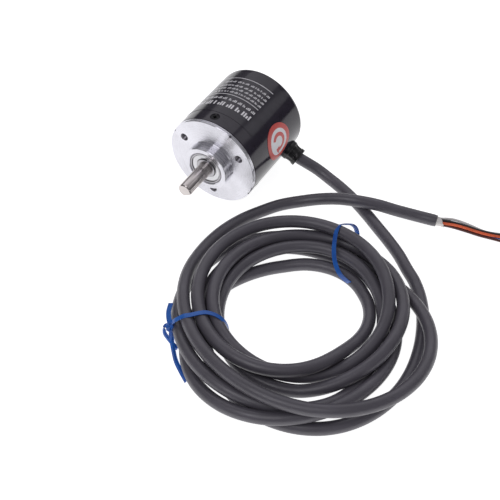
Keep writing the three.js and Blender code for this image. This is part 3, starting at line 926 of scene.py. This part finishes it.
def film_rows(start, end, low, high, corner):
    """Lines across a sheet with rounded corners."""
    bend = degrees_of(corner)
    rounds = [start + bend * (1 - math.cos(t)) for t in np.linspace(0, math.pi / 2, 7)]
    stops = rounds + list(np.arange(start + bend + 2, end - bend - 1, 2.5))
    stops += [start + end - a for a in rounds[::-1]]
    rows = []
    for a in stops:
        off = max(0, bend - min(a - start, end - a)) / bend
        inset = corner * (1 - math.sqrt(max(0, 1 - off**2)))
        rows.append([(a, low + inset), (a, high - inset)])
    return rows


def label():
    sheet = on_body(film_rows(*LABEL_ANGLES, *LABEL_Y, 1.2), *FILM)
    stand_in("label", sheet, angle=20)
    marks = []
    for at, tall, stroke, groups in PRINT_ROWS:
        angle = PRINT_START
        width = degrees_of(stroke)
        for count in groups:
            for k in range(count):
                short = (k + count) % 3 == 2
                high = tall * (SHORT_STROKE if short else 1)
                marks.append(bar(angle, angle + width, at - (tall - high) / 2, high, INK))
                angle += STROKE_PITCH * width
            angle += GROUP_GAP * width
    marks += [bar(PRINT_START, PRINT_START + length, at, high, INK) for at, high, length in PRINT_RULES]
    extra("label_print", joined(marks), "white_print")


# The sticker's middle, as an angle and a place along the axis, its radius and its white field's, and
# its layers' heights above the body
STICKER = {"angle": 13.6, "at": FACE_Y + 20.5, "radius": 7.9, "field": 5.7}
STICKER_FILM = (0.01, 0.12)
STICKER_FIELD = (0.12, 0.135)
STICKER_INK = (0.135, 0.15)
# The arrow on it: its ring's middle radius, half its width, half the head's, and the tip's
ARROW = {"middle": 3.3, "half": 0.8, "head": 1.8, "tip": 0.12}


def sticker_place(x, y):
    return STICKER["angle"] + degrees_of(x), STICKER["at"] + y


def sticker_disc(radius, layer):
    rows = []
    for turn in np.linspace(0.03, math.pi - 0.03, 49):
        x, reach = radius * math.cos(turn), radius * math.sin(turn)
        rows.append([sticker_place(x, reach * t) for t in np.linspace(-1, 1, 9)])
    return on_body(rows, *layer)


def rotation_arrow(layer):
    """Three quarters of a ring with an arrowhead, the usual sign for turning."""
    rows = [(turn, ARROW["half"]) for turn in np.radians(np.linspace(-60, 190, 30))]
    for t in np.linspace(0, 1, 5):
        rows.append((math.radians(191 + 37 * t), ARROW["head"] * (1 - t) + ARROW["tip"]))
    grid = []
    for turn, wide in rows:
        radii = np.linspace(ARROW["middle"] - wide, ARROW["middle"] + wide, 7)
        grid.append([sticker_place(r * math.cos(turn), r * math.sin(turn)) for r in radii])
    return on_body(grid, *layer)


def round_sticker():
    stand_in("round_sticker", sticker_disc(STICKER["radius"], STICKER_FILM), angle=20)
    extra("sticker_field", sticker_disc(STICKER["field"], STICKER_FIELD), "white_print", angle=20)
    extra("sticker_arrow", rotation_arrow(STICKER_INK), "sticker_film", angle=20)


label()
round_sticker()


# Bearings


def groove(side, offset):
    """Radius of a groove's wall that follows the balls."""
    return PITCH_R + side * math.sqrt((BALL_R + 0.12) ** 2 - offset**2)


def outer_race(start):
    outer, end = BEARING_R, start + BEARING_WIDTH
    mid = (start + end) / 2
    wall = [(groove(1, d), mid + d) for d in np.linspace(0.86, -0.86, 9)]
    return turned(eased([
        (outer - 0.8, start), (outer - 0.32, start), (outer, start + 0.4),
        (outer, end - 0.4), (outer - 0.32, end), (outer - 0.8, end),
        (outer - 0.8, end - 0.75), (outer - 1.3, end - 0.75), *wall,
        (outer - 1.3, start + 0.75), (outer - 0.8, start + 0.75),
    ], 0.07, 2))


def inner_race(start):
    bore, end = BEARING_BORE_R + PLAY, start + BEARING_WIDTH
    land, mid = BEARING_BORE_R + 1.3, (start + end) / 2
    wall = [(groove(-1, d), mid + d) for d in np.linspace(-0.86, 0.86, 9)]
    return turned(eased([(bore, end), (bore, start), (land, start), *wall, (land, end)], 0.1, 2))


def shield(start):
    """A pressed disc that dishes in towards the inner race, with a rolled outer edge."""
    return turned(eased([
        (4.5, start + 0.12), (4.9, start + 0.1), (5.2, start), (6, start), (6.15, start - 0.1),
        (6.38, start - 0.05), (6.38, start + 0.25), (5.2, start + 0.25), (4.9, start + 0.3),
        (4.5, start + 0.3),
    ], 0.05, 2))


def cage(start):
    mid = start + BEARING_WIDTH / 2
    inner, outer = PITCH_R - 0.2, PITCH_R + 0.2
    band = [(inner, mid - 1.7), (outer, mid - 1.7), (outer, mid + 1.7), (inner, mid + 1.7)]
    return turned(eased(band, 0.08, 2), 84)


def ball(start):
    turn = np.linspace(-math.pi / 2, math.pi / 2, 15)
    centre = start + BEARING_WIDTH / 2
    outline = [(BALL_R * math.cos(t), centre + BALL_R * math.sin(t)) for t in turn]
    outline[0], outline[-1] = (0, outline[0][1]), (0, outline[-1][1])
    return turned(outline, 28)


def bearing(name, start, shields):
    stand_in(name + "_outer_race", on_axis(outer_race(start)))
    stand_in(name + "_inner_race", on_axis(inner_race(start)))
    angles = [90 + 360 / BALLS * i for i in range(BALLS)]
    pockets = [radially(rod(BALL_R + 0.16, 3.5, 7), angle, start + BEARING_WIDTH / 2)
               for angle in angles]
    stand_in(name + "_cage", on_axis(cage(start)), pockets)
    for side, inset in shields:
        stand_in(f"{name}_{side}_shield", on_axis(shield(start + inset)))
    for i, angle in enumerate(angles):
        stand_in(f"{name}_ball_{i + 1}", beside(ball(start), PITCH_R, angle))


bearing("front_bearing", FRONT_BEARING_Y, [("front", 0.35), ("rear", BEARING_WIDTH - 0.6)])
bearing("rear_bearing", REAR_BEARING_Y, [("rear", BEARING_WIDTH - 0.6)])


# Rotor

# How many bars the code disc has
CODE_BARS = 120


def shaft():
    """A turned bar with fine rings in front of the bearing, a flat near its tip and a slimmer rear end."""
    neck = SHAFT_R - 0.5
    clip = REAR_BEARING_Y + BEARING_WIDTH + 0.1
    rings = []
    for k in range(4):
        place = BOSS_Y - 2.7 + 0.7 * k
        rings += [(SHAFT_R, place), (SHAFT_R - 0.06, place + 0.08), (SHAFT_R - 0.06, place + 0.18),
                  (SHAFT_R, place + 0.26)]
    blank = turned(eased([
        (0, TIP_Y), (SHAFT_R - 0.45, TIP_Y), (SHAFT_R, TIP_Y + 0.45), *rings, (SHAFT_R, clip),
        (neck, clip), (neck, clip + 0.6), (SHAFT_R, clip + 0.6), (SHAFT_R, clip + 1),
        (neck, clip + 1.1), (neck, DISC_Y + 1.6), (neck - 0.3, DISC_Y + 1.9), (0, DISC_Y + 1.9),
    ], 0.05, 2), 96)
    waste = block((4, FLAT_LENGTH + 1, 8), (FLAT_TO_AXIS + 2, TIP_Y + (FLAT_LENGTH - 1) / 2, 0))
    stand_in("shaft", on_axis(blank), [on_axis(turned_about_y(waste, FLAT_ANGLE))])


def code_tracks():
    """Dark radial bars on the glass disc: a fine ring for counting and one wide mark for each turn."""
    fine = block((2.2, 0.02, 0.3), (12, DISC_Y - 0.01, 0))
    bars = [turned_about_y(fine, 360 / CODE_BARS * i) for i in range(CODE_BARS)]
    bars.append(turned_about_y(block((1.6, 0.02, 0.7), (9.6, DISC_Y - 0.01, 0)), 90))
    extra("code_tracks", on_axis(joined(bars)), "black_moulding", "rotor")


shaft()
code_tracks()


# Cable entry


def gland():
    """A ribbed rubber boot: a square-edged foot, a waist and a flared mouth."""
    seat = [(0, 17), (4.1, 17), (4.1, 17.9), (3.3, 17.9)]
    foot = [(3.3, 19.6), (4.35, 19.7), (4.35, 21.3), (4.2, 21.5)]
    waist = [(3.98, 21.9), (3.85, 22.4), (3.78, 23), (3.76, 23.6), (3.78, 24.1), (3.82, 24.4)]
    mouth = [(4.02, 24.5), (4.05, 25.8), (3.85, 26), (2.75, 26), (2.6, 25.8), (2.6, 18.6), (0, 18.6)]
    points, faces = turned(eased([*seat, *foot, *waist, *mouth], 0.12), 144)
    turn = np.arctan2(points[:, 2], points[:, 0])
    reach = np.hypot(points[:, 0], points[:, 2])
    waisted = (points[:, 1] > 21.6) & (points[:, 1] < 24.45)
    footed = (points[:, 1] > 19.65) & (points[:, 1] < 21.3)
    ribs = 0.06 * waisted * np.clip(0.5 - np.cos(10 * turn), 0, 1)
    notches = 0.04 * footed * np.clip(2.2 * np.cos(4 * turn) - 1.1, 0, 1)
    share = 1 - (reach > 3.3) * (ribs + notches)
    points[:, 0] *= share
    points[:, 2] *= share
    return stand_in("cable_gland", radially((points, faces), GLAND_ANGLE, GLAND_Y))


cord_pieces.append(gland())


# Ties

# Across a tie: a thin strip, round the two wires that stiffen its middle
TIE_SECTION = np.array([
    (-0.95, -0.14), (-0.4, -0.16), (0.4, -0.16), (0.95, -0.14), (1, 0), (0.95, 0.1), (0.5, 0.12),
    (0.36, 0.34), (0.12, 0.4), (-0.12, 0.4), (-0.36, 0.34), (-0.5, 0.12), (-0.95, 0.1), (-1, 0)])
# The first tie's strap, over the coil and back under it
STRAP = [
    (28.5, -80.2, 8.6), (29.2, -79.9, 10), (31.5, -78.3, 11.8), (33.9, -76.6, 13), (36.2, -74.2, 13.4),
    (38.4, -72.2, 13.2), (40.8, -71.2, 12.4), (43.4, -70.8, 11.2), (45.6, -70.5, 9.4),
    (46.5, -70.3, 6.8), (46, -69.9, 3.6), (43, -69.9, 0.9), (36.5, -74, 0.65), (31, -78, 0.75),
    (28.6, -80, 3),
]
# The knot and then each free end, with the way that the strip's width points
KNOT_AND_ENDS = [
    ([(29, -80.6, 9), (28.7, -81.5, 7.7), (27.8, -81.8, 7.4), (27.4, -81, 8.2), (28, -80.2, 9),
      (28.9, -80.6, 8.7)], (0.6, 0.7, 0.4)),
    ([(28, -80.6, 8.6), (27.2, -80, 9), (25.6, -78.4, 9.2), (24.2, -76.4, 9.6), (22.9, -73, 10.2)],
     (0.75, 0.5, 0.3)),
    ([(28.7, -80.8, 7.8), (29, -81.9, 5.4), (29.7, -82.9, 3), (31.7, -85, 1.6), (35.2, -88.5, 1.2),
      (39.7, -91.6, 1), (43.6, -94, 1)], (0.5, 0.6, 0.75)),
    ([(28.2, -80.9, 8), (26.4, -80.4, 7.2), (25.4, -81, 5.9), (25.9, -82, 4.4), (27.9, -82.7, 3),
      (30.2, -83.2, 1.9), (32.8, -83.8, 1.3)], (0.2, 0.35, 0.9)),
]
# The second tie: a loose loop, from the coil's outer side over it, and back under it
LOOSE_STRAP = [
    (62.8, 1.4, 3.2), (62.2, 0.8, 6.4), (61.2, -1, 9.6), (60.1, -4.2, 12), (59.2, -7.3, 13),
    (59.4, -11, 13.2), (60.9, -15.7, 13.4), (63.1, -20.2, 13), (66, -24.2, 11.8), (69.4, -26.3, 9.4),
    (72, -25.4, 6.4), (73, -23, 3.2), (71.6, -20, 1), (68.6, -13, 0.7), (65.6, -6, 0.7),
    (63.8, -0.6, 1),
]
# How much room a strip takes between its middle and the cable under it
STRIP_ROOM = 0.25


def cable_top(place):
    """How high the cable reaches, with room for a strip, at a place seen from above."""
    off = np.linalg.norm(cable_line[:, :2] - place[:2], axis=1)
    near = off < CABLE_R
    return (cable_line[near, 2] + np.sqrt(CABLE_R**2 - off[near] ** 2)).max(initial=0) + STRIP_ROOM


def resting_strap(points):
    """A closed strap, drawn tight over the strands that it crosses on top of the coil."""
    line = smooth_line([*points, points[0]], 0.8)[:-1]
    height = line[:, 2].copy()
    over = height > 5
    height[over] = [max(point[2], cable_top(point)) for point in line[over]]
    for _ in range(300):
        between = (np.roll(height, 1) + np.roll(height, -1)) / 2
        height = np.where(over, np.maximum(height, between), height)
    window = np.hanning(7) / np.hanning(7).sum()
    line[:, 2] = np.convolve(np.pad(height, 3, "wrap"), window, "valid")
    wide = np.cross(heading(line, True), unit(line - line.mean(0)))
    return swept(line, TIE_SECTION, wide, closed=True)


loose_strips = [swept(smooth_line(points, 0.6), TIE_SECTION, wide) for points, wide in KNOT_AND_ENDS]
cord_pieces.append(stand_in("twist_tie_1", joined([resting_strap(STRAP), *loose_strips])))
cord_pieces.append(stand_in("twist_tie_2", resting_strap(LOOSE_STRAP)))


# Each CAD node's finish

for name, node in frame["nodes"].items():
    node.data.materials.clear()
    node.data.materials.append(FINISHES[SLOT_OF[name]].material)


# Studio

STUDIO_WHITE = (0.97, 0.955, 1, 1)
# The paper floor, in metres: how far it reaches, and how far below the object it lies; and its glow
FLOOR_REACH = 6
FLOOR_DROP = 0.0001
FLOOR_GLOW = 0.92
# Where the softboxes point, and how far off they stand, in metres
SOFTBOX_AIM = (0.02, 0, 0.02)
SOFTBOX_AWAY = 0.9
# Each softbox: the way to it, its width and height in metres, and how bright it looks
SOFTBOXES = [
    ("left_softbox", (-0.36, 0.58, 0.7), (1.3, 0.7), 0.7),
    ("right_softbox", (0.5, 0.6, 0.6), (0.2, 0.5), 0.6),
    ("front_softbox", (-0.05, -0.58, 0.8), (0.42, 0.5), 2.2),
]


def make_floor():
    mesh = bpy.data.meshes.new("floor")
    corners = [(-1, -1), (1, -1), (1, 1), (-1, 1)]
    points = [(FLOOR_REACH * x, FLOOR_REACH * y, -FLOOR_DROP) for x, y in corners]
    mesh.from_pydata(points, [], [(0, 1, 2, 3)])
    floor = bpy.data.objects.new("floor", mesh)
    bpy.context.collection.objects.link(floor)
    paper = Finish("floor_paper", (0.6, 0.6, 0.6), 0.6)
    paper.set(Emission_Color=(1, 1, 1, 1), Emission_Strength=FLOOR_GLOW)
    mesh.materials.append(paper.material)


def add_light(name, at, size, power):
    light = bpy.data.lights.new(name, "AREA")
    light.shape = "RECTANGLE"
    light.size, light.size_y = size
    light.energy = power
    light.color = STUDIO_WHITE[:3]
    made = bpy.data.objects.new(name, light)
    made.location = at
    made.rotation_euler = (Vector(SOFTBOX_AIM) - at).to_track_quat("-Z", "Y").to_euler()
    bpy.context.collection.objects.link(made)


def make_world():
    """Soft light from all round, dimmer near the horizon, as in a studio with dark walls."""
    world = bpy.data.worlds.new("studio")
    world.use_nodes = True
    tree = world.node_tree
    way = add_node(tree, "TexCoord").outputs["Generated"]
    height = add_node(tree, "SeparateXYZ", {0: way}).outputs[2]
    strength = add_node(tree, "MapRange",
                        {"Value": height, "From Min": 0, "From Max": 0.7, "To Min": 0.08, "To Max": 0.3})
    background = tree.nodes["Background"]
    background.inputs["Color"].default_value = STUDIO_WHITE
    tree.links.new(strength.outputs[0], background.inputs["Strength"])
    bpy.context.scene.world = world


def make_studio():
    make_floor()
    make_world()
    for name, way, size, radiance in SOFTBOXES:
        at = Vector(SOFTBOX_AIM) + Vector(way).normalized() * SOFTBOX_AWAY
        add_light(name, at, size, radiance * math.pi * size[0] * size[1])
    bpy.context.scene.view_settings.view_transform = "Standard"


make_studio()
